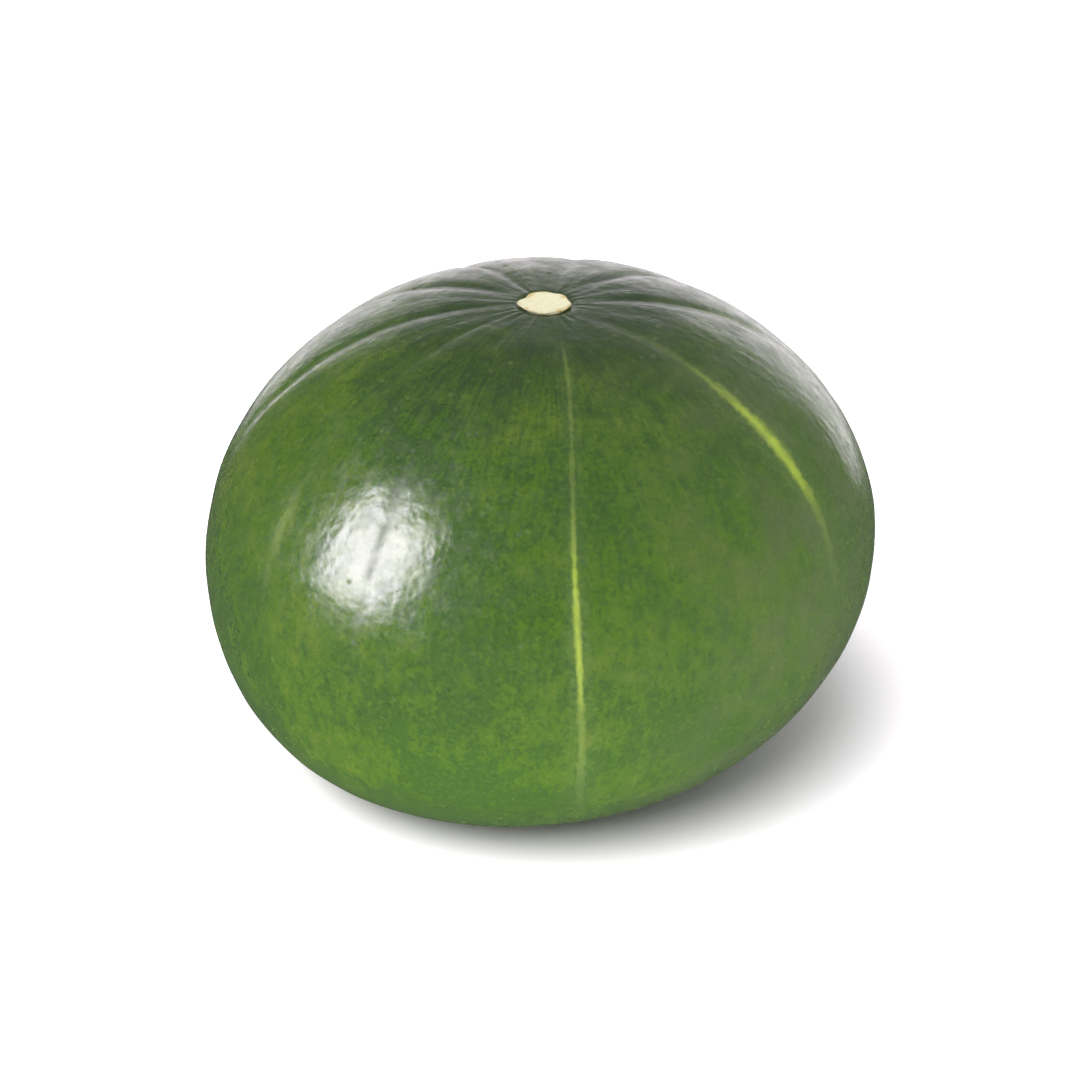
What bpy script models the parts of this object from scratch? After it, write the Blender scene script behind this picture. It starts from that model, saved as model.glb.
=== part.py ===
"""Round zucchini, as picked: one squat, furrowed green fruit and the corky stub of its stem.

Metres, +Z up. The fruit stands on a small flat round its blossom end. The origin is the middle
of the box round the whole thing, at the level of that flat, and the fruit's front faces -Y.
"""

import math

import bmesh
import bpy
import numpy as np

# Body of the fruit
HALF_WIDTH = 0.0569
CROWN_HEIGHT = 0.0470  # from the widest level up to the shoulders' curve at the stem
BASE_DEPTH = 0.0422  # from the widest level down to the blossom end
CROWN_ROUNDNESS = 1.10  # power of the sine: over 1 is more pointed than an ellipse
BASE_ROUNDNESS = 0.695  # under 1 is fuller and flatter than an ellipse
BULGE = 0.032  # one flank is fuller by this share
BULGE_TURN = 66.0  # degrees round the stem from the front, towards +X
STEM_OFFSET = 0.0022  # the stem sits this far towards +X
BLOSSOM_OFFSET = -0.0054  # and the blossom end this far towards -X

# Stem end and blossom end
DIP_DEPTH = 0.0030
DIP_RADIUS = 0.0180
SEAT_DEPTH = 0.0012  # the stub's root sits in this shallow seat
SEAT_RADIUS = 0.0056
FOOT_FLAT = 0.0006  # how much of the rounded base the flat takes off
SCAR_DEPTH = 0.0008  # dimple of the blossom scar in the middle of the flat
SCAR_RADIUS = 0.0042

# Main furrows: degrees round the stem from the front, depth, polar degrees where it has faded,
# and the degrees by which its ends bow away from its middle
FURROWS = (
    (7, 0.00030, 150, 4.6),
    (58, 0.00035, 115, 0),
    (105, 0.00050, 88, -6),
    (136, 0.00045, 96, 2),
    (170, 0.00040, 84, -2),
    (206, 0.00045, 92, 2),
    (239, 0.00055, 80, -2),
    (272, 0.00040, 100, 3),
    (306, 0.00020, 105, 0),
    (329, 0.00025, 110, 0),
)
BOW_MIDDLE = math.radians(65)
BOW_SPAN = math.radians(55)
FURROW_WIDTH = 0.0012
FURROW_NARROWING = 0.0080  # a furrow has half its width at this distance from the stem
FURROW_START = math.radians(6)
FURROW_FULL = math.radians(20)
WANDER = math.radians(0.3)
WANDER_WAVES = 5.0

# Short furrows between the main ones, and the low ribs that swell between furrows
SHORT_DEPTH = 0.00025
SHORT_REACH = 42.0
RIB_HEIGHT = 0.00045
RIB_TOP = math.radians(34)
RIB_SPREAD = math.radians(24)

# Stub of the stem
STUB_RADIUS = 0.0043
STUB_RISE = 0.0009  # cut face above the skin round the stub
STUB_RIDGES = ((5, 0.045, 0.9), (3, 0.040, 2.2), (8, 0.030, 0.4))  # count, share, phase
STUB_POINT = 0.16  # share by which its one torn corner stands out
STUB_POINT_TURN = 272.0
GAP = 0.0003  # between the stub and the skin under it
# The stub's section from the middle of its cut face, over the rim, down to the middle of its
# root: share of its radius, and share of its height
STUB_SECTION = (
    (0.00, 0.80),
    (0.45, 0.84),
    (0.80, 0.94),
    (0.97, 1.00),
    (1.03, 0.80),
    (0.98, 0.35),
    (0.90, 0.08),
    (0.75, 0.00),
    (0.00, 0.00),
)

# Mesh
MESH_PER_GAP = 11  # columns of faces from one main furrow to the next
MESH_RINGS = 48
FURROW_CROWDING = 0.62
POLE_CROWDING = 0.66
STUB_COLUMNS = 40
STUB_RINGS = 16


def smooth(value, low, high):
    """0 below low, 1 above high, and a smooth rise between."""
    share = np.clip((value - low) / (high - low), 0, 1)
    return share * share * (3 - 2 * share)


def furrow_turn(number, polar):
    """Where a main furrow runs, in radians round the stem. It bows and wanders a little."""
    laps, place = np.divmod(number, len(FURROWS))
    start = np.radians([turn for turn, *_ in FURROWS])[place]
    bow = np.radians([bow for *_, bow in FURROWS])[place] * ((polar - BOW_MIDDLE) / BOW_SPAN) ** 2
    return start + laps * math.tau + bow + WANDER * np.sin(WANDER_WAVES * polar + 2.4 * place)


def turn_at(polar, along):
    """Radians round the stem of a mesh column. along counts furrows, and columns crowd round them."""
    number = np.floor(along).astype(int)
    share = along - number
    eased = share - FURROW_CROWDING * np.sin(math.tau * share) / math.tau
    near, far = furrow_turn(number, polar), furrow_turn(number + 1, polar)
    return near + (far - near) * eased, share


def groove(polar, turn, radius, line, depth, reach):
    """Depth of one furrow at each point: deepest on its line, fading in at the stem and out at its reach."""
    across = radius * np.arctan2(np.sin(turn - line), np.cos(turn - line))
    width = FURROW_WIDTH * radius / (radius + FURROW_NARROWING) + 1e-5
    fade = smooth(polar, FURROW_START, FURROW_FULL) * (1 - smooth(polar, 0.45 * reach, reach))
    return depth * fade * np.exp(-((across / width) ** 2))


def furrows(polar, turn, radius):
    """Depth of all the furrows at each point."""
    total = np.zeros_like(polar)
    for number, (_, depth, reach, _) in enumerate(FURROWS):
        line = furrow_turn(np.array(number), polar)
        total += groove(polar, turn, radius, line, depth, math.radians(reach))
        across = furrow_turn(np.array(number + 1), polar) - line
        short = line + across * (0.5 + 0.13 * math.sin(3.1 * number))
        reach = math.radians(SHORT_REACH * (1 + 0.3 * math.sin(5.3 * number)))
        total += groove(polar, turn, radius, short, SHORT_DEPTH, reach)
    return total


def skin(polar, along):
    """Points of the skin, from the angle down from the stem and the furrow count round it."""
    turn, share = turn_at(polar, along)
    rise = (1 + np.cos(polar)) / 2  # 1 at the stem, 0 at the blossom end
    roundness = BASE_ROUNDNESS + (CROWN_ROUNDNESS - BASE_ROUNDNESS) * rise
    height = BASE_DEPTH + (CROWN_HEIGHT - BASE_DEPTH) * rise
    sine = np.maximum(np.sin(polar), 0)
    radius = HALF_WIDTH * sine**roundness
    level = height * np.cos(polar)
    radius *= 1 + BULGE * np.cos(turn - math.radians(BULGE_TURN)) * sine
    slope = np.arctan2(level / height**2, radius / HALF_WIDTH**2)
    ribs = np.sin(math.pi * share) ** 2 * np.exp(-(((polar - RIB_TOP) / RIB_SPREAD) ** 2))
    out = RIB_HEIGHT * ribs * smooth(polar, FURROW_START, FURROW_FULL) - furrows(polar, turn, radius)
    ring = radius + out * np.cos(slope)
    level += out * np.sin(slope)
    level -= DIP_DEPTH * np.exp(-((radius / DIP_RADIUS) ** 2)) * (rise > 0.5)
    level -= SEAT_DEPTH * np.exp(-((radius / SEAT_RADIUS) ** 6)) * (rise > 0.5)
    level = np.maximum(level + BASE_DEPTH - FOOT_FLAT, 0)
    level += SCAR_DEPTH * (1 - smooth(radius, 0.2 * SCAR_RADIUS, SCAR_RADIUS)) * (rise < 0.5)
    aside = STEM_OFFSET * rise**3 + BLOSSOM_OFFSET * (1 - rise) ** 3
    return np.stack([ring * np.sin(turn) + aside, -ring * np.cos(turn), level], axis=-1)


def shaped_sphere(name, columns, rings, shape):
    """A closed body: a sphere whose points a formula moves, from (angle down, angle round) in radians."""
    mesh = bpy.data.meshes.new(name)
    form = bmesh.new()
    bmesh.ops.create_uvsphere(form, u_segments=columns, v_segments=rings, radius=1)
    start = np.array([vert.co for vert in form.verts])
    polar = np.arccos(np.clip(start[:, 2], -1, 1))
    around = np.arctan2(start[:, 1], start[:, 0]) % math.tau
    for vert, point in zip(form.verts, shape(polar, around)):
        vert.co = point
    form.to_mesh(mesh)
    form.free()
    mesh.shade_smooth()
    return bpy.data.objects.new(name, mesh)


def fruit_shape(polar, around):
    """Skin points with the rings crowded towards the stem and the blossom end."""
    crowded = polar - POLE_CROWDING * np.sin(2 * polar) / 2
    return skin(crowded, around / math.tau * len(FURROWS))


def stub_shape(polar, around):
    """A low plug with a flared root, blunt ridges, one torn corner and a slightly sunk cut face."""
    seat = skin(np.zeros(1), np.zeros(1))[0, 2]
    height = SEAT_DEPTH + STUB_RISE - GAP
    step = np.linspace(0, math.pi, len(STUB_SECTION))
    reach = np.interp(polar, step, [share for share, _ in STUB_SECTION])
    level = np.interp(polar, step, [share for _, share in STUB_SECTION])
    corner = np.maximum(np.cos(around - math.radians(STUB_POINT_TURN)), 0) ** 9
    ridges = sum(share * np.cos(count * around + phase) for count, share, phase in STUB_RIDGES)
    ring = STUB_RADIUS * reach * (1 + (STUB_POINT * corner + ridges) * smooth(level, 0, 1))
    across = STEM_OFFSET + ring * np.sin(around)
    return np.stack([across, -ring * np.cos(around), seat + GAP + height * level], axis=-1)


def material(name, colour, roughness):
    """A Principled material of one colour, in linear RGB."""
    made = bpy.data.materials.new(name)
    made.use_nodes = True
    shader = made.node_tree.nodes["Principled BSDF"]
    shader.inputs["Base Color"].default_value = (*colour, 1)
    shader.inputs["Roughness"].default_value = roughness
    shader.inputs["Metallic"].default_value = 0
    made.diffuse_color = (*colour, 1)
    return made


def centre_on_origin(parts):
    """Moves the pieces' points sideways until the box round them all is centred on the Z axis."""
    corners = np.array([vert.co for part in parts for vert in part.data.vertices])
    middle = (corners.min(axis=0) + corners.max(axis=0)) / 2
    for part in parts:
        for vert in part.data.vertices:
            vert.co.x -= middle[0]
            vert.co.y -= middle[1]


def build():
    for old in list(bpy.data.objects):
        bpy.data.objects.remove(old, do_unlink=True)
    collection = bpy.data.collections.new("round_zucchini")
    bpy.context.scene.collection.children.link(collection)
    fruit = shaped_sphere("fruit", MESH_PER_GAP * len(FURROWS), MESH_RINGS, fruit_shape)
    stub = shaped_sphere("stem_stub", STUB_COLUMNS, STUB_RINGS, stub_shape)
    fruit.data.materials.append(material("green_skin", (0.060, 0.140, 0.025), 0.25))
    stub.data.materials.append(material("pale_cork", (0.80, 0.68, 0.38), 0.80))
    centre_on_origin((fruit, stub))
    for part in (fruit, stub):
        collection.objects.link(part)


build()
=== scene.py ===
"""Looks of a round zucchini: its waxy furrowed rind and the corky stub of its stem.

It uses the CAD part's own frame: metres, +Z up along the stem, and the front towards -Y.
"""

import math

import bmesh
import bpy
import numpy as np
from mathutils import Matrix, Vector


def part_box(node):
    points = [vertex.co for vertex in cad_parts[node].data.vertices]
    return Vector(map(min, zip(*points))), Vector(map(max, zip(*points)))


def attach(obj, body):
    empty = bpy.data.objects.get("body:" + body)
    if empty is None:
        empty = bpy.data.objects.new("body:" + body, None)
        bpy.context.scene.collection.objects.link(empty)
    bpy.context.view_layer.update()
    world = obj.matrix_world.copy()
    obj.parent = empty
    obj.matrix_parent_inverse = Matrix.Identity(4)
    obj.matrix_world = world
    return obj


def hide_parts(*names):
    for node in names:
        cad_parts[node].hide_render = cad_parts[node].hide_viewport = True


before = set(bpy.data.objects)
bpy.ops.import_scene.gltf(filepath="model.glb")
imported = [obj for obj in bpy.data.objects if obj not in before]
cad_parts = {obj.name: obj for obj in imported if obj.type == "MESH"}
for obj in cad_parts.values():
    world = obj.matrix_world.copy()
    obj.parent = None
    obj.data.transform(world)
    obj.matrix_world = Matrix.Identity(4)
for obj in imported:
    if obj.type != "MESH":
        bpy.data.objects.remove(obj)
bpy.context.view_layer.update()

# Body of the fruit, in metres
HALF_WIDTH = 0.0569
CROWN_HEIGHT = 0.0470  # from the widest level up to the shoulders' curve at the stem
BASE_DEPTH = 0.0422  # from the widest level down to the blossom end
CROWN_ROUNDNESS = 1.10  # power of the sine: over 1 is more pointed than an ellipse
BASE_ROUNDNESS = 0.695  # under 1 is fuller and flatter than an ellipse
BULGE = 0.032  # one flank is fuller by this share
BULGE_TURN = 66.0  # degrees round the stem from the front, towards +X
STEM_OFFSET = 0.0022  # the stem sits this far towards +X
BLOSSOM_OFFSET = -0.0054  # and the blossom end this far towards -X
OFFSET_POWER = 3  # how fast both fade towards the widest level
DIP_DEPTH = 0.0030  # hollow round the stem
DIP_RADIUS = 0.0180
SEAT_DEPTH = 0.0007  # the stub's root sits in this shallow seat
SEAT_RADIUS = 0.0044
SEAT_STEEPNESS = 6
FOOT_FLAT = 0.0006  # how much of the rounded base the flat takes off
SCAR_DEPTH = 0.0008  # dimple of the blossom scar in the middle of the flat
SCAR_RADIUS = 0.0042
SCAR_BOTTOM = 0.2 * SCAR_RADIUS  # radius of the dimple's flat bottom
MILLIMETRES = 1000  # in a metre

# Main furrows: degrees round the stem from the front, depth, polar degrees where it has faded,
# and the degrees by which its ends bow away from its middle
FURROWS = (
    (7, 0.00010, 150, 4.6),
    (60, 0.00010, 115, -5.5),
    (105, 0.00030, 88, -6),
    (136, 0.00026, 96, 2),
    (170, 0.00013, 84, -2),
    (206, 0.00026, 92, 2),
    (239, 0.00028, 80, -2),
    (272, 0.00016, 100, 3),
    (306, 0.00008, 105, 0),
    (329, 0.00006, 110, 0),
)
BOW_MIDDLE = math.radians(65)  # polar angle of that middle
BOW_SPAN = math.radians(55)  # and how far from it the ends are
FURROW_WIDTH = 0.0020
LEAST_WIDTH = 0.00001  # width of a furrow on the axis
FURROW_NARROWING = 0.0080  # a furrow has half its width at this distance from the stem
FURROW_START = math.radians(6)
FURROW_FULL = math.radians(20)
FURROW_FADE = 0.45  # a furrow starts to fade at this share of its reach
WANDER = math.radians(0.3)  # most by which a furrow wanders
WANDER_WAVES = 5.0
WANDER_STEP = 2.4  # radians from one furrow's waves to those of the next

# Short furrows between the main ones
SHORT_DEPTH = 0.00007
SHORT_REACH = 42.0  # polar degrees
SHORT_ASIDE = 0.13  # most by which one leaves the middle, as a share of the gap
SHORT_ASIDE_STEP = 3.1  # radians from one to the next in that
SHORT_UNEVEN = 0.3  # most by which a reach differs, as a share of it
SHORT_UNEVEN_STEP = 5.3  # radians from one to the next in that

# Low ribs that swell between the furrows
RIB_HEIGHT = 0.00030
RIB_TOP = math.radians(34)  # polar angle where they are highest
RIB_SPREAD = math.radians(24)

# Yellow-green lines in furrows: number of the furrow, half width, strength, polar degrees where
# it is strongest, spread of that stretch, strength elsewhere, polar degrees where it has faded
TINTED = (
    (0, 0.00070, 1.00, 75, 14, 0.40, 150),
    (1, 0.00180, 1.00, 50, 12, 0.34, 100),
    (2, 0.00090, 0.45, 38, 14, 0.30, 80),
    (4, 0.00070, 0.80, 60, 20, 0.25, 110),
    (6, 0.00060, 0.50, 66, 16, 0.25, 100),
    (8, 0.00190, 0.42, 68, 14, 0.20, 100),
)
TINT_START = (8, 22)  # polar degrees where the lines start and where they are full
TINT_FADE = 0.72  # a line starts to fade at this share of its reach
LOW_WIDENING = 0.9  # low on the fruit a line is wider by this share
LOW_START = (82, 112)  # polar degrees where that starts and where it is full

# Sharp creases in furrows: number of the furrow, strength, polar degrees where it starts and ends
CREASES = (
    (3, 0.6, 8, 75),
    (5, 0.7, 8, 80),
    (6, 0.4, 8, 75),
    (7, 0.3, 8, 70),
    (9, 0.55, 44, 96),
)
CREASE_RISE = 10  # degrees over which it sharpens
CREASE_FADE = 26  # degrees over which it fades

# Finer relief of the rind: rays round the stub, and lumps
RAY_HEIGHT = 0.00004
RAY_COUNTS = ((23, 0.4), (31, 1.9), (17, 3.3))  # rays round the stem, phase
RAY_START = 1.3 * SEAT_RADIUS  # distance from the stem where they are full
RAY_REACH = 0.0150
RAY_FADE = 0.5 * RAY_REACH  # and where they start to fade
LUMP_HEIGHT = 0.00010
LUMP_LENGTHS = (0.009, 0.014, 0.022)
LUMP_WAVES = 12
LUMP_SEED = 7
LUMP_START = 3 * SEAT_RADIUS  # distance from the stem where they are full

# Stub of the stem
STUB_RADIUS = 0.0040
STUB_RISE = 0.0003  # cut face above the skin round the stub
STUB_RIDGES = ((5, 0.045, 0.9), (3, 0.040, 2.2), (8, 0.030, 0.4))  # count, share, phase
STUB_POINT = 0.16  # share by which its one torn corner stands out
STUB_POINT_TURN = 272.0
STUB_POINT_STEEPNESS = 9
# The stub's section from the middle of its cut face, over the rim, down to the middle of its
# root: share of its radius, and share of its height
STUB_SECTION = (
    (0.00, 0.80),
    (0.45, 0.84),
    (0.80, 0.94),
    (0.97, 1.00),
    (1.03, 0.80),
    (0.98, 0.35),
    (0.90, 0.08),
    (0.75, 0.00),
    (0.00, 0.00),
)
STUB_SIDE = 0.6 * math.pi  # polar angle of the sphere from which its points lie under the rim

# Mesh: columns and rings, and how much columns crowd round furrows and rings at both ends
RIND_COLUMNS = 400
RIND_RINGS = 240
STUB_COLUMNS = 160
STUB_RINGS = 96
FURROW_CROWDING = 0.62
POLE_CROWDING = 0.66

# Colours, in linear RGB
DEEP_GREEN = (0.032, 0.060, 0.026)
DARK_GREEN = (0.034, 0.084, 0.015)
COOL_GREEN = (0.054, 0.130, 0.018)
MID_GREEN = (0.072, 0.164, 0.013)
WARM_GREEN = (0.080, 0.164, 0.015)
YELLOW_GREEN = (0.112, 0.196, 0.017)
# painted grey sheen, laid on the +X flank
SHEEN_GREY_GREEN = (0.088, 0.132, 0.048)
SPECK = (0.190, 0.240, 0.075)
LINE_YELLOW = (0.385, 0.510, 0.056)
LINE_PALE = (0.165, 0.225, 0.095)
RAY_GREEN = (0.072, 0.108, 0.053)
SCAR_TAN = (0.300, 0.200, 0.090)
SCAR_BROWN = (0.110, 0.065, 0.030)
STUB_CREAM = (0.95, 0.91, 0.62)
STUB_TAN = (0.72, 0.56, 0.26)
STUB_EDGE = (0.70, 0.48, 0.12)
FLOOR_WHITE = (0.95, 0.92, 0.95)

# Mottling: the tone at which each green lies, and the share of each field in the tone
TONES = ((0.37, COOL_GREEN), (0.50, MID_GREEN), (0.63, WARM_GREEN), (0.77, YELLOW_GREEN))
TONE_SHARE = {"patches": 0.27, "clouds": 0.22, "streaks": 0.27, "blotches": 0.24}
LOW_PAINTED_SHADE = 0.12  # painted shade: the tone, and with it the green, is lower and darker by this on the lower half

# Fields: scale, detail and roughness of a noise, and the two levels of it between which one rises
PATCHES = (42, 2, 0.5, 0.32, 0.68)
CLOUDS = (110, 2, 0.55, 0.31, 0.69)
STREAKS = (46, 3, 0.6, 0.29, 0.71)
BLOTCHES = (330, 3, 0.65, 0.33, 0.67)
CREASE_BREAKS = (210, 2, 0.5, 0.35, 0.6)
SPECK_PLACES = (70, 1, 0.5, 0.44, 0.62)
RAYS = (8.5, 2, 0.6, 0.44, 0.60)
PIT_PLACES = (110, 1, 0.5, 0.46, 0.60)
WAX = (260, 4, 0.7, 0.3, 0.7)

# Noises: scale, detail and roughness
FINE = (1300, 2, 0.6)
CREASE_SIDES = (260, 2, 0.6)
RAGS = (700, 3, 0.6)
KINKS = (210, 2, 0.5)
CORK = (900, 3, 0.6)
RIPPLE = (150, 2, 0.5)
PULL = (26, 1, 0.5)
PEEL = (620, 1, 0.4)
STUB_GRAIN = (1100, 3, 0.6)
STUB_BROAD = (380, 2, 0.5)

# Levels of the fine noise between which its flecks come in
LIGHT_FLECKS = (0.50, 0.74)
DARK_FLECKS = (0.27, 0.50)
LINE_FLECKS = (0.54, 0.70)

# The way down the fruit shrinks to these shares in the noise, which draws streaks and rays out
STREAK_SQUEEZE = 0.22
RAY_SQUEEZE = 0.5

# Polar angles, in radians, between which each part of the rind comes in or ends
LOWER_HALF = (1.25, 1.75)
PLAINER = (1.5, 2.1)
CROWN_END = (0.14, 0.92)
DULL_CROWN_END = (0.25, 1.15)
RAYS_END = (0.9, 1.1)
BLOSSOM_END = (2.35, 2.95)
SCAR_SIDE = (2.4, 2.5)

# How strongly each layer of colour covers what is under it
COVER = {
    "light_flecks": 0.70,
    "dark_flecks": 0.66,
    # painted grey sheen on the +X flank, and its patchy part
    "flank": 0.24,
    "clouds_on_flank": 0.66,
    "crown": 0.82,
    "furrow": 0.35,
    "crease": 0.55,
    "specks_low": 0.14,
    "specks_high": 0.50,
    "line_halo": 0.22,
    "line_flecks": 0.30,
    "rays": 0.50,
    "blossom_end": 0.45,
}
PLAIN = 0.4  # share by which the fine flecks are weaker low on the fruit
PAINTED_SHEEN_SIDE = (0.1, 0.9)  # sine of the turn towards +X between which the painted grey sheen on that flank comes in
CROWN_UNEVEN = 0.5  # radians by which the crown's edge follows the tone
FURROW_SHADE = (0.10, 0.7)  # millimetres of depth between which a furrow's shade comes in

# Creases, in metres: how much their sides waver, and between what distances they end
CREASE_WAVER = 0.0024
CREASE_WIDTH = (-0.0003, 0.0015)
CREASE_LEAST = 0.25  # what is left of a crease where it breaks

# Specks and pits: how many cells they have to a metre, and shares of a cell between which they end
SPECK_CELLS = 320
SPECK_FULL = 0.02
SPECK_END = 0.17
SPECK_RAG = 0.08  # most by which the fine noise moves that end
PIT_CELLS = 260
PIT_SIZE = (0.02, 0.20)

# Lines, in half widths: how much rags and kinks move their sides, and where core and halo end
RAG_REACH = 1.2
KINK_REACH = 0.8
CORE_SIZE = (0, 1.25)
HALO_SIZE = (0.8, 4.0)
LINE_NARROWEST = 0.40  # share of the core's width that is left where there is no tint
LINE_LEAST = 0.60  # share of the tint that is left at a kink
LINE_KINKS = (0.30, 0.55)  # levels of the kinks between which the tint is back
LINE_YELLOWING = (0.22, 0.60)  # tints between which a pale line turns yellow

# Rays and scar, in metres from the axis
RAY_FIELD = (0.0060, 0.0150)
SCAR_SIZE = (0.0036, 0.0050)
SCAR_RAG = 0.0016  # most by which the cork draws its edge in
CORK_LEVELS = (0.4, 0.6)  # levels of the cork between which brown turns tan

# Roughness of the clean rind, how much it varies with the wax, and what each mark adds to it
GLOSS = 0.19
WAX_SPREAD = 0.15
DULL = {"scar": 0.5, "specks": 0.08, "line": 0.10, "crease": 0.36, "pits": 0.34, "crown": 0.08}
WAX_IOR = 1.5

# Relief too fine for the mesh: its height in metres, and the share of each mark in it
RIND_RELIEF = 0.00022
RISE = {"ripple": 0.86, "pull": 0.20, "peel": 0.34, "line": 0.14, "cork": 0.5}
SINK = {"pits": 0.10, "crease": 0.12}

# Stub: covers and levels of its two darker colours, its roughness and its relief
TAN_COVER = 0.35
TAN_LEVELS = (0.50, 0.80)
EDGE_COVER = 0.8
EDGE_LEVELS = (0.35, 0.6)
EDGE_WAVER = 0.5  # how much the broad noise moves the edge
EDGE_PLACE = (0.78, 1.02)  # shares of the stub's radius between which the edge comes in
STUB_ROUGHNESS = 0.85
STUB_RELIEF = 0.00020

# Softboxes: degrees round from the front towards +X, degrees up, distance, size, radiance, colour
SOFTBOXES = (
    ("window", -64.5, 24, 0.80, (0.40, 0.54), 23, (0.95, 0.84, 1.0)),
    ("back_card", 174, 2, 1.20, (1.46, 0.76), 1.9, (1.0, 0.91, 1.0)),
)
# Soft lights: degrees round and up, spread in degrees, strength, and what they fall on
SOFT_LIGHTS = (
    ("overhead", 0, 90, 160, 2.40, "fruit"),
    ("front_left", -16, 34, 60, 0.30, "all"),
    ("floor_wash", -34, 53, 58, 6.0, "floor"),
    ("floor_sky", -40, 62, 124, 2.4, "floor"),
)
ROOM_GREY = (0.12, 0.12, 0.12)  # what the room sheds on the fruit and the floor
ROOM_SEEN = (1.0, 1.0, 1.0)  # what the camera sees of it
FLOOR_HALF = 8  # metres from the middle of the floor to its edges
FLOOR_ROUGHNESS = 0.8

# Camera
VIEW_ELEVATION = 27  # degrees
VIEW_DISTANCE = 1.10
FRAME_WIDTH = 0.184  # width of the view at the fruit
AIM = Vector((0, 0, 0.0415))  # what the camera and the lights are turned to
SENSOR_WIDTH = 36  # millimetres
FARTHEST_SEEN = 50  # metres


def smooth(value, low, high):
    """0 below low, 1 above high, and a smooth rise between."""
    share = np.clip((value - low) / (high - low), 0, 1)
    return share * share * (3 - 2 * share)


def furrow_turn(number, polar):
    """Where a main furrow runs, in radians round the stem. It bows and wanders a little."""
    laps, place = np.divmod(number, len(FURROWS))
    start = np.radians([turn for turn, *_ in FURROWS])[place]
    bow = np.radians([bow for *_, bow in FURROWS])[place] * ((polar - BOW_MIDDLE) / BOW_SPAN) ** 2
    wander = WANDER * np.sin(WANDER_WAVES * polar + WANDER_STEP * place)
    return start + laps * math.tau + bow + wander


def turn_at(polar, along):
    """Radians round the stem of a mesh column, and its share of the way to the next furrow.

    along counts furrows, and columns crowd round them.
    """
    number = np.floor(along).astype(int)
    share = along - number
    eased = share - FURROW_CROWDING * np.sin(math.tau * share) / math.tau
    near, far = furrow_turn(number, polar), furrow_turn(number + 1, polar)
    return near + (far - near) * eased, share


def across_line(turn, line, radius):
    """Distance along the skin, round the stem, from a line that runs down it."""
    return radius * np.arctan2(np.sin(turn - line), np.cos(turn - line))


def groove(polar, turn, radius, line, depth, reach):
    """Depth of one furrow at each point: deepest on its line, and fading out at both its ends."""
    width = FURROW_WIDTH * radius / (radius + FURROW_NARROWING) + LEAST_WIDTH
    start = smooth(polar, FURROW_START, FURROW_FULL)
    fade = start * (1 - smooth(polar, FURROW_FADE * reach, reach))
    return depth * fade * np.exp(-((across_line(turn, line, radius) / width) ** 2))


def furrows(polar, turn, radius):
    """Depth of all the furrows at each point."""
    total = np.zeros_like(polar)
    for number, (_, depth, reach, _) in enumerate(FURROWS):
        line = furrow_turn(number, polar)
        total += groove(polar, turn, radius, line, depth, math.radians(reach))
        across = furrow_turn(number + 1, polar) - line
        short = line + across * (0.5 + SHORT_ASIDE * math.sin(SHORT_ASIDE_STEP * number))
        uneven = 1 + SHORT_UNEVEN * math.sin(SHORT_UNEVEN_STEP * number)
        short_reach = math.radians(SHORT_REACH * uneven)
        total += groove(polar, turn, radius, short, SHORT_DEPTH, short_reach)
    return total


def lumps(polar, turn):
    """Slight unevenness of the skin: waves that cross each other, mostly between -1 and 1."""
    draw = np.random.default_rng(LUMP_SEED)
    sine = np.sin(polar)
    place = HALF_WIDTH * np.stack([sine * np.sin(turn), -sine * np.cos(turn), np.cos(polar)])
    total = np.zeros_like(polar)
    for wave in range(LUMP_WAVES):
        heading = draw.normal(size=3)
        heading /= np.linalg.norm(heading)
        length = LUMP_LENGTHS[wave % len(LUMP_LENGTHS)]
        phase = draw.uniform(0, math.tau)
        total += length * np.sin(math.tau * np.tensordot(heading, place, 1) / length + phase)
    return total / (max(LUMP_LENGTHS) * math.sqrt(LUMP_WAVES))


def rays_at(turn, radius):
    """Height of the fine rays round the stub."""
    near_stem = smooth(radius, SEAT_RADIUS, RAY_START) * (1 - smooth(radius, RAY_FADE, RAY_REACH))
    rays = sum(np.cos(count * turn + phase) for count, phase in RAY_COUNTS) / len(RAY_COUNTS)
    return RAY_HEIGHT * rays * near_stem


def skin(polar, along):
    """Points of the skin, with their turn and distance round the stem and their furrow depth."""
    turn, share = turn_at(polar, along)
    rise = (1 + np.cos(polar)) / 2  # 1 at the stem, 0 at the blossom end
    above = rise > 0.5
    roundness = BASE_ROUNDNESS + (CROWN_ROUNDNESS - BASE_ROUNDNESS) * rise
    height = BASE_DEPTH + (CROWN_HEIGHT - BASE_DEPTH) * rise
    sine = np.maximum(np.sin(polar), 0)
    radius = HALF_WIDTH * sine**roundness
    level = height * np.cos(polar)
    radius *= 1 + BULGE * np.cos(turn - math.radians(BULGE_TURN)) * sine
    slope = np.arctan2(level / height**2, radius / HALF_WIDTH**2)
    ribs = np.sin(math.pi * share) ** 2 * np.exp(-(((polar - RIB_TOP) / RIB_SPREAD) ** 2))
    depth = furrows(polar, turn, radius)
    out = RIB_HEIGHT * ribs * smooth(polar, FURROW_START, FURROW_FULL) - depth
    out += LUMP_HEIGHT * lumps(polar, turn) * smooth(radius, SEAT_RADIUS, LUMP_START)
    out += rays_at(turn, radius) * above
    ring = radius + out * np.cos(slope)
    level += out * np.sin(slope)
    level -= DIP_DEPTH * np.exp(-((radius / DIP_RADIUS) ** 2)) * above
    level -= SEAT_DEPTH * np.exp(-((radius / SEAT_RADIUS) ** SEAT_STEEPNESS)) * above
    level = np.maximum(level + BASE_DEPTH - FOOT_FLAT, 0)
    level += SCAR_DEPTH * (1 - smooth(radius, SCAR_BOTTOM, SCAR_RADIUS)) * (rise < 0.5)
    aside = STEM_OFFSET * rise**OFFSET_POWER + BLOSSOM_OFFSET * (1 - rise) ** OFFSET_POWER
    points = np.stack([ring * np.sin(turn) + aside, -ring * np.cos(turn), level], axis=-1)
    return points, turn, radius, depth


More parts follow.
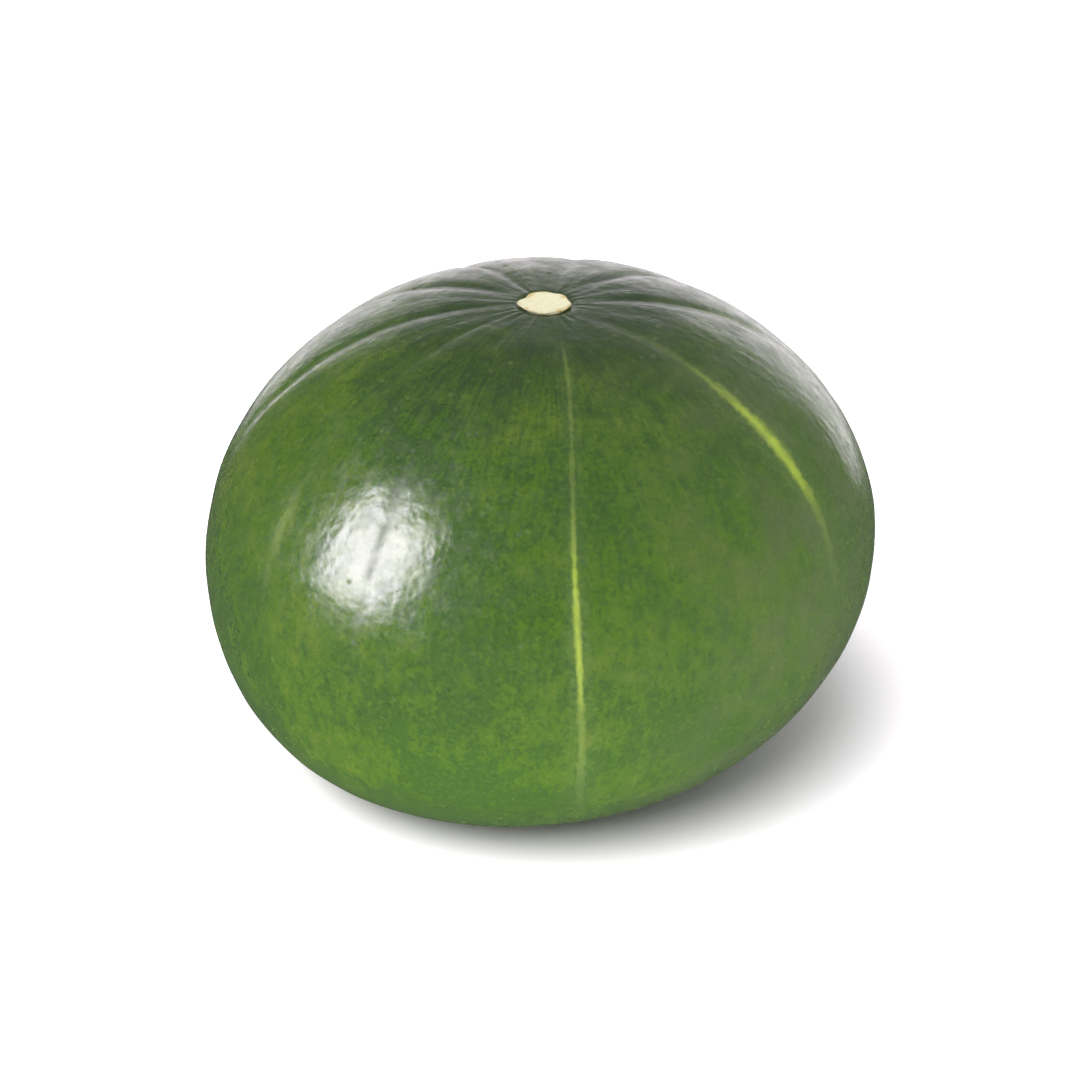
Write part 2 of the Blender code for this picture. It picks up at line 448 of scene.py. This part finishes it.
def nearest_of(lines):
    """Distance from the nearest of several lines at each point, and that line's strength there."""
    nearest, strength = lines[0]
    for away, strong in lines[1:]:
        strength = np.where(away < nearest, strong, strength)
        nearest = np.minimum(away, nearest)
    return nearest, strength


def off_furrow(number, polar, turn, radius):
    """Distance along the skin, round the stem, from a main furrow."""
    return np.abs(across_line(turn, furrow_turn(number, polar), radius))


def line_marks(polar, turn, radius):
    """Half widths away from the nearest tinted line, and how strong its tint is there."""
    down = np.degrees(polar)
    wider = 1 + LOW_WIDENING * smooth(down, *LOW_START)
    lines = []
    for number, half_width, most, peak, spread, elsewhere, reach in TINTED:
        away = off_furrow(number, polar, turn, radius) / half_width / wider
        swell = np.exp(-(((down - peak) / spread) ** 2))
        tint = most * (elsewhere + (1 - elsewhere) * swell)
        tint *= smooth(down, *TINT_START) * (1 - smooth(down, TINT_FADE * reach, reach))
        lines.append((away, tint))
    return nearest_of(lines)


def crease_marks(polar, turn, radius):
    """Distance from the nearest creased furrow, and how sharp its crease is there."""
    down = np.degrees(polar)
    lines = []
    for number, most, first, last in CREASES:
        sharp = most * smooth(down, first, first + CREASE_RISE)
        sharp *= 1 - smooth(down, last - CREASE_FADE, last)
        lines.append((off_furrow(number, polar, turn, radius), sharp))
    return nearest_of(lines)


def mesh_of(name, form):
    """A mesh with the faces of a bmesh, which is freed."""
    mesh = bpy.data.meshes.new(name)
    form.to_mesh(mesh)
    form.free()
    return mesh


def sphere_mesh(name, columns, rings):
    """A sphere's mesh, with its points' angles down from the pole and round it."""
    form = bmesh.new()
    bmesh.ops.create_uvsphere(form, u_segments=columns, v_segments=rings, radius=1)
    mesh = mesh_of(name, form)
    start = np.empty(len(mesh.vertices) * 3, np.float32)
    mesh.vertices.foreach_get("co", start)
    start = start.reshape(-1, 3).astype(float)
    polar = np.arccos(np.clip(start[:, 2], -1, 1))
    around = np.arctan2(start[:, 1], start[:, 0]) % math.tau
    return mesh, polar, around


def set_points(mesh, points):
    mesh.vertices.foreach_set("co", points.astype(np.float32).ravel())
    mesh.shade_smooth()
    mesh.update()


def keep_mark(mesh, name, values):
    """Keeps a value, or a vector, of each point for the material to read."""
    kind, key = ("FLOAT", "value") if values.ndim == 1 else ("FLOAT_VECTOR", "vector")
    mark = mesh.attributes.new(name, kind, "POINT")
    mark.data.foreach_set(key, values.astype(np.float32).ravel())


def in_place(points, node):
    """Points moved sideways until their box is over the middle of the CAD node's, and the move."""
    low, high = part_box(node)
    middle = (points.min(axis=0) + points.max(axis=0)) / 2
    shift = np.array((low + high) / 2) - middle
    return points + shift * (1, 1, 0), shift


def make_rind():
    mesh, polar, around = sphere_mesh("rind", RIND_COLUMNS, RIND_RINGS)
    crowded = polar - POLE_CROWDING * np.sin(2 * polar) / 2
    points, turn, radius, depth = skin(crowded, around / math.tau * len(FURROWS))
    points, shift = in_place(points, "fruit")
    set_points(mesh, points)
    away, tint = line_marks(crowded, turn, radius)
    keep_mark(mesh, "grain", np.stack([np.sin(turn), -np.cos(turn), crowded], axis=-1))
    keep_mark(mesh, "off_line", away)
    keep_mark(mesh, "line_tint", tint)
    away, sharp = crease_marks(crowded, turn, radius)
    keep_mark(mesh, "off_crease", away)
    keep_mark(mesh, "crease", sharp)
    keep_mark(mesh, "furrow", depth * MILLIMETRES)
    keep_mark(mesh, "girth", radius)
    return bpy.data.objects.new("rind", mesh), shift


def make_stub(shift):
    mesh, polar, around = sphere_mesh("stub", STUB_COLUMNS, STUB_RINGS)
    seat = skin(np.zeros(1), np.zeros(1))[0][0, 2]
    height = SEAT_DEPTH + STUB_RISE
    step = np.linspace(0, math.pi, len(STUB_SECTION))
    reach = np.interp(polar, step, [share for share, _ in STUB_SECTION])
    level = np.interp(polar, step, [share for _, share in STUB_SECTION])
    facing = np.maximum(np.cos(around - math.radians(STUB_POINT_TURN)), 0)
    corner = facing**STUB_POINT_STEEPNESS
    ridges = sum(share * np.cos(count * around + phase) for count, share, phase in STUB_RIDGES)
    ring = STUB_RADIUS * reach * (1 + (STUB_POINT * corner + ridges) * smooth(level, 0, 1))
    across = STEM_OFFSET + shift[0] + ring * np.sin(around)
    points = np.stack([across, shift[1] - ring * np.cos(around), seat + height * level], axis=-1)
    set_points(mesh, points)
    keep_mark(mesh, "rim", np.where(polar < STUB_SIDE, reach, 1.0))
    return bpy.data.objects.new("stub", mesh)


class Wire:
    """One output of a shader node. A sum written on it adds its Math nodes to the same tree."""

    def __init__(self, tree, socket=None):
        self.tree = tree
        self.socket = socket

    def node(self, kind, settings=None, values=None, output=0):
        """Adds a node, sets it, fills or links its sockets, and gives one of its outputs."""
        made = self.tree.nodes.new(kind)
        for name, value in (settings or {}).items():
            setattr(made, name, value)
        for name, value in (values or {}).items():
            if isinstance(value, Wire):
                self.tree.links.new(value.socket, made.inputs[name])
            elif isinstance(value, tuple) and made.inputs[name].type == "RGBA":
                made.inputs[name].default_value = (*value, 1)
            else:
                made.inputs[name].default_value = value
        return Wire(self.tree, made.outputs[output])

    def math(self, operation, first, second):
        return self.node("ShaderNodeMath", {"operation": operation}, {0: first, 1: second})

    def __add__(self, other):
        return self.math("ADD", self, other)

    def __sub__(self, other):
        return self.math("SUBTRACT", self, other)

    def __rsub__(self, other):
        return self.math("SUBTRACT", other, self)

    def __mul__(self, other):
        return self.math("MULTIPLY", self, other)

    def __truediv__(self, other):
        return self.math("DIVIDE", self, other)

    __radd__ = __add__
    __rmul__ = __mul__

    def between(self, low, high):
        """0 where this is at low, 1 where it is at high, and a smooth rise between."""
        settings = {"interpolation_type": "SMOOTHSTEP", "clamp": True}
        values = {"Value": self, "From Min": low, "From Max": high}
        return self.node("ShaderNodeMapRange", settings, values)

    def ranging(self, low, high):
        """low where this is 0, and high where it is 1."""
        return low + (high - low) * self

    def swinging(self, span):
        """Half the span below nothing where this is 0, and half above nothing where it is 1."""
        return (self - 0.5) * span


def colour_mix(share, low, high):
    """A colour from low to high by share."""
    settings = {"data_type": "RGBA", "clamp_factor": True}
    factor, first_colour, second_colour, mixed_colour = 0, 6, 7, 2
    values = {factor: share, first_colour: low, second_colour: high}
    return share.node("ShaderNodeMix", settings, values, mixed_colour)


def colour_ramp(level, stops):
    """The colour at a level, from stops that each have their level and colour."""
    ramp = level.node("ShaderNodeValToRGB", values={0: level})
    elements = ramp.socket.node.color_ramp.elements
    while len(elements) < len(stops):
        elements.new(1)
    for element, (place, colour) in zip(elements, stops):
        element.position = place
        element.color = (*colour, 1)
    return ramp


def new_material(name):
    """A material with only a Principled shader, that shader, and a wire to start from."""
    made = bpy.data.materials.new(name)
    made.use_nodes = True
    return made, made.node_tree.nodes["Principled BSDF"], Wire(made.node_tree)


def kept(start, name, output="Fac"):
    """A value that the mesh keeps for each of its points."""
    return start.node("ShaderNodeAttribute", {"attribute_name": name}, output=output)


def axis(vector, letter):
    return vector.node("ShaderNodeSeparateXYZ", values={0: vector}, output=letter)


def squeezed(vector, share):
    """The vector with its Z shortened to a share."""
    return vector.node("ShaderNodeMapping", values={"Vector": vector, "Scale": (1, 1, share)})


def noise(place, scale, detail, rough):
    values = {"Vector": place, "Scale": scale, "Detail": detail, "Roughness": rough}
    return place.node("ShaderNodeTexNoise", values=values)


def field(place, scale, detail, rough, low, high):
    """A noise that rises from 0 to 1 between two of its levels."""
    return noise(place, scale, detail, rough).between(low, high)


def cells(place, scale):
    """Distance from the middle of the nearest of many uneven cells."""
    values = {"Vector": place, "Scale": scale}
    return place.node("ShaderNodeTexVoronoi", values=values, output="Distance")


def link(wire, shader, name):
    shader.id_data.links.new(wire.socket, shader.inputs[name])


def add_relief(shader, relief, height):
    values = {"Strength": 1.0, "Distance": height, "Height": relief}
    link(relief.node("ShaderNodeBump", values=values), shader, "Normal")


def mottled(place, grain, streaky, upper, fine):
    """Colour of the rind without its marks, and its tone: patches, streaks, blotches and flecks."""
    clouds = field(place, *CLOUDS)
    tone = (
        field(place, *PATCHES) * TONE_SHARE["patches"]
        + clouds * TONE_SHARE["clouds"]
        + field(streaky, *STREAKS) * TONE_SHARE["streaks"]
        + field(place, *BLOTCHES) * TONE_SHARE["blotches"]
    )
    # Painted shade: the tone is lower, so the green darker and cooler, on the lower half
    colour = colour_ramp(tone - (1 - upper) * LOW_PAINTED_SHADE, TONES)
    plain = 1 - axis(grain, "Z").between(*PLAINER) * PLAIN
    light = fine.between(*LIGHT_FLECKS) * plain * COVER["light_flecks"]
    colour = colour_mix(light, colour, YELLOW_GREEN)
    dark = (1 - fine.between(*DARK_FLECKS)) * plain * COVER["dark_flecks"]
    colour = colour_mix(dark, colour, DARK_GREEN)
    # Painted grey sheen on the +X flank, patchy where the clouds are
    flank = axis(grain, "X").between(*PAINTED_SHEEN_SIDE)
    painted_sheen = flank * COVER["flank"] + clouds * flank * COVER["clouds_on_flank"]
    return colour_mix(painted_sheen, colour, SHEEN_GREY_GREEN), tone


def crease_lines(start, place):
    """1 in a sharp crease and 0 beside it. Its sides waver, and it weakens here and there."""
    off_crease = kept(start, "off_crease") + noise(place, *CREASE_SIDES).swinging(CREASE_WAVER)
    crease = (1 - off_crease.between(*CREASE_WIDTH)) * kept(start, "crease")
    return crease * field(place, *CREASE_BREAKS).ranging(CREASE_LEAST, 1)


def with_lines(start, place, fine, colour):
    """The colour with the lines in the furrows over it, and how strong their core is.

    A line has a ragged core, yellower where its tint is strong, in a pale and flecked halo.
    """
    off_line = kept(start, "off_line")
    tint = kept(start, "line_tint")
    kinks = noise(place, *KINKS)
    moved = off_line + noise(place, *RAGS).swinging(RAG_REACH) + kinks.swinging(KINK_REACH)
    core = 1 - (moved / tint.ranging(LINE_NARROWEST, 1)).between(*CORE_SIZE)
    halo = 1 - off_line.between(*HALO_SIZE)
    colour = colour_mix(halo * tint * COVER["line_halo"], colour, LINE_PALE)
    flecks = fine.between(*LINE_FLECKS) * halo * tint
    colour = colour_mix(flecks * COVER["line_flecks"], colour, LINE_PALE)
    line_colour = colour_mix(tint.between(*LINE_YELLOWING), LINE_PALE, LINE_YELLOW)
    uneven_tint = tint.between(0, 1) * kinks.between(*LINE_KINKS).ranging(LINE_LEAST, 1)
    return colour_mix(core * uneven_tint, colour, line_colour), core * tint


def rind_material():
    made, shader, start = new_material("waxy_green_rind")
    place = start.node("ShaderNodeTexCoord", output="Object")
    grain = kept(start, "grain", "Vector")
    girth = kept(start, "girth")
    polar = axis(grain, "Z")
    streaky = squeezed(grain, STREAK_SQUEEZE)
    upper = 1 - polar.between(*LOWER_HALF)
    fine = noise(place, *FINE)
    colour, tone = mottled(place, grain, streaky, upper, fine)

    # Darker and greyer towards the stem; painted shade in the furrows and in the creases
    crown = 1 - (polar + tone.swinging(CROWN_UNEVEN)).between(*CROWN_END)
    colour = colour_mix(crown * COVER["crown"], colour, DEEP_GREEN)
    # Painted shade in the furrows: the deeper, the darker
    furrow = kept(start, "furrow").between(*FURROW_SHADE)
    colour = colour_mix(furrow * COVER["furrow"], colour, DEEP_GREEN)
    # Painted shade along the sharp creases
    crease = crease_lines(start, place)
    colour = colour_mix(crease * COVER["crease"], colour, DEEP_GREEN)

    # A few pale specks, and the lines in the furrows
    specks = 1 - cells(place, SPECK_CELLS).between(SPECK_FULL, SPECK_END + fine * SPECK_RAG)
    specks = specks * field(place, *SPECK_PLACES)
    cover = upper.ranging(COVER["specks_low"], COVER["specks_high"])
    colour = colour_mix(specks * cover, colour, SPECK)
    colour, line = with_lines(start, place, fine, colour)

    # Pale rays round the stub
    near_stub = 1 - girth.between(*RAY_FIELD)
    top = 1 - polar.between(*RAYS_END)
    rays = field(squeezed(grain, RAY_SQUEEZE), *RAYS) * near_stub * top
    colour = colour_mix(rays * COVER["rays"], colour, RAY_GREEN)

    # Blossom end: a paler patch with a corky scar in its middle
    pale = polar.between(*BLOSSOM_END) * COVER["blossom_end"]
    colour = colour_mix(pale, colour, YELLOW_GREEN)
    cork = noise(place, *CORK)
    scar = 1 - (girth + cork * SCAR_RAG).between(*SCAR_SIZE)
    scar = scar * polar.between(*SCAR_SIDE)
    scar_colour = colour_mix(cork.between(*CORK_LEVELS), SCAR_BROWN, SCAR_TAN)
    link(colour_mix(scar, colour, scar_colour), shader, "Base Color")

    # Gloss, duller in the marks and on the crown, and uneven on the upper half
    pits = (1 - cells(place, PIT_CELLS).between(*PIT_SIZE)) * field(place, *PIT_PLACES) * upper
    dull = scar * DULL["scar"] + specks * DULL["specks"] + line * DULL["line"]
    dull = dull + crease * DULL["crease"] + pits * DULL["pits"]
    dull = dull + (1 - polar.between(*DULL_CROWN_END)) * DULL["crown"]
    wax = field(place, *WAX) * upper + (1 - upper) * 0.5
    link(GLOSS + wax * WAX_SPREAD + dull, shader, "Roughness")
    shader.inputs["IOR"].default_value = WAX_IOR

    # Fine relief: uneven wax, orange peel, pits, creases, raised lines and the scar's cork
    relief = noise(place, *RIPPLE) * RISE["ripple"] + noise(streaky, *PULL) * RISE["pull"]
    relief = relief + noise(place, *PEEL) * RISE["peel"]
    relief = relief - pits * SINK["pits"] - crease * SINK["crease"] + line * RISE["line"]
    add_relief(shader, relief * upper + scar * cork * RISE["cork"], RIND_RELIEF)
    return made


def stub_material():
    made, shader, start = new_material("dry_pale_cork")
    place = start.node("ShaderNodeTexCoord", output="Object")
    grain = noise(place, *STUB_GRAIN)
    broad = noise(place, *STUB_BROAD)
    colour = colour_mix(grain.between(*TAN_LEVELS) * TAN_COVER, STUB_CREAM, STUB_TAN)
    edge = (kept(start, "rim") + broad.swinging(EDGE_WAVER)).between(*EDGE_PLACE)
    edge = edge * broad.between(*EDGE_LEVELS) * EDGE_COVER
    link(colour_mix(edge, colour, STUB_EDGE), shader, "Base Color")
    shader.inputs["Roughness"].default_value = STUB_ROUGHNESS
    add_relief(shader, grain, STUB_RELIEF)
    return made


def show(item):
    bpy.context.scene.collection.objects.link(item)


def make_floor():
    form = bmesh.new()
    bmesh.ops.create_grid(form, x_segments=1, y_segments=1, size=FLOOR_HALF)
    floor = bpy.data.objects.new("floor", mesh_of("floor", form))
    made, shader, _ = new_material("plain_white_floor")
    shader.inputs["Base Color"].default_value = (*FLOOR_WHITE, 1)
    shader.inputs["Roughness"].default_value = FLOOR_ROUGHNESS
    shader.inputs["Specular IOR Level"].default_value = 0.0
    floor.data.materials.append(made)
    floor.visible_glossy = False
    show(floor)
    return floor


def at_angle(turn, elevation, distance):
    """A place round the fruit, by degrees round from the front towards +X and degrees up."""
    turn, elevation = math.radians(turn), math.radians(elevation)
    flat = math.cos(elevation) * distance
    up = math.sin(elevation) * distance
    return AIM + Vector((math.sin(turn) * flat, -math.cos(turn) * flat, up))


def aimed(name, data, place):
    """A light or camera at a place, turned to the fruit."""
    item = bpy.data.objects.new(name, data)
    item.location = place
    item.rotation_euler = (AIM - place).to_track_quat("-Z", "Y").to_euler()
    show(item)
    return item


def soft_light(name, turn, elevation, spread, strength):
    """Even light from a wide part of the room. It shades things but no gloss mirrors it."""
    data = bpy.data.lights.new(name, "SUN")
    data.angle = math.radians(spread)
    data.energy = strength
    light = aimed(name, data, at_angle(turn, elevation, 1))
    light.visible_glossy = False
    return light


def softbox(name, turn, elevation, distance, size, radiance, colour):
    """A lit panel that only shows mirrored in the gloss."""
    data = bpy.data.lights.new(name, "AREA")
    data.shape = "RECTANGLE"
    data.size, data.size_y = size
    data.energy = radiance * math.pi * size[0] * size[1]
    data.color = colour
    panel = aimed(name, data, at_angle(turn, elevation, distance))
    panel.visible_diffuse = False


def light_only(light, things):
    """Lets a light fall on these things and on nothing else."""
    lit = bpy.data.collections.new(light.name + "_only")
    for thing in things:
        lit.objects.link(thing)
    light.light_linking.receiver_collection = lit


def light_scene(pieces, floor):
    for name, *settings in SOFTBOXES:
        softbox(name, *settings)
    lit_alone = {"fruit": pieces, "floor": (floor,)}
    for name, turn, elevation, spread, strength, target in SOFT_LIGHTS:
        light = soft_light(name, turn, elevation, spread, strength)
        if target in lit_alone:
            light_only(light, lit_alone[target])


def make_room():
    """A grey room round the fruit, which the camera sees as white."""
    world = bpy.data.worlds.new("studio")
    bpy.context.scene.world = world
    world.use_nodes = True
    seen = Wire(world.node_tree).node("ShaderNodeLightPath", output="Is Camera Ray")
    link(colour_mix(seen, ROOM_GREY, ROOM_SEEN), world.node_tree.nodes["Background"], "Color")


def place_camera():
    data = bpy.data.cameras.new("camera")
    data.sensor_width = SENSOR_WIDTH
    data.lens = SENSOR_WIDTH * VIEW_DISTANCE / FRAME_WIDTH
    data.clip_end = FARTHEST_SEEN
    place = at_angle(0, VIEW_ELEVATION, VIEW_DISTANCE)
    bpy.context.scene.camera = aimed("camera", data, place)
    bpy.context.scene.view_settings.view_transform = "Standard"


def finish_piece(piece, material, node):
    piece.data.materials.append(material)
    show(piece)
    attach(piece, "root")
    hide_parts(node)


rind, shift = make_rind()
stub = make_stub(shift)
finish_piece(rind, rind_material(), "fruit")
finish_piece(stub, stub_material(), "stem_stub")
floor = make_floor()
light_scene((rind, stub), floor)
make_room()
place_camera()
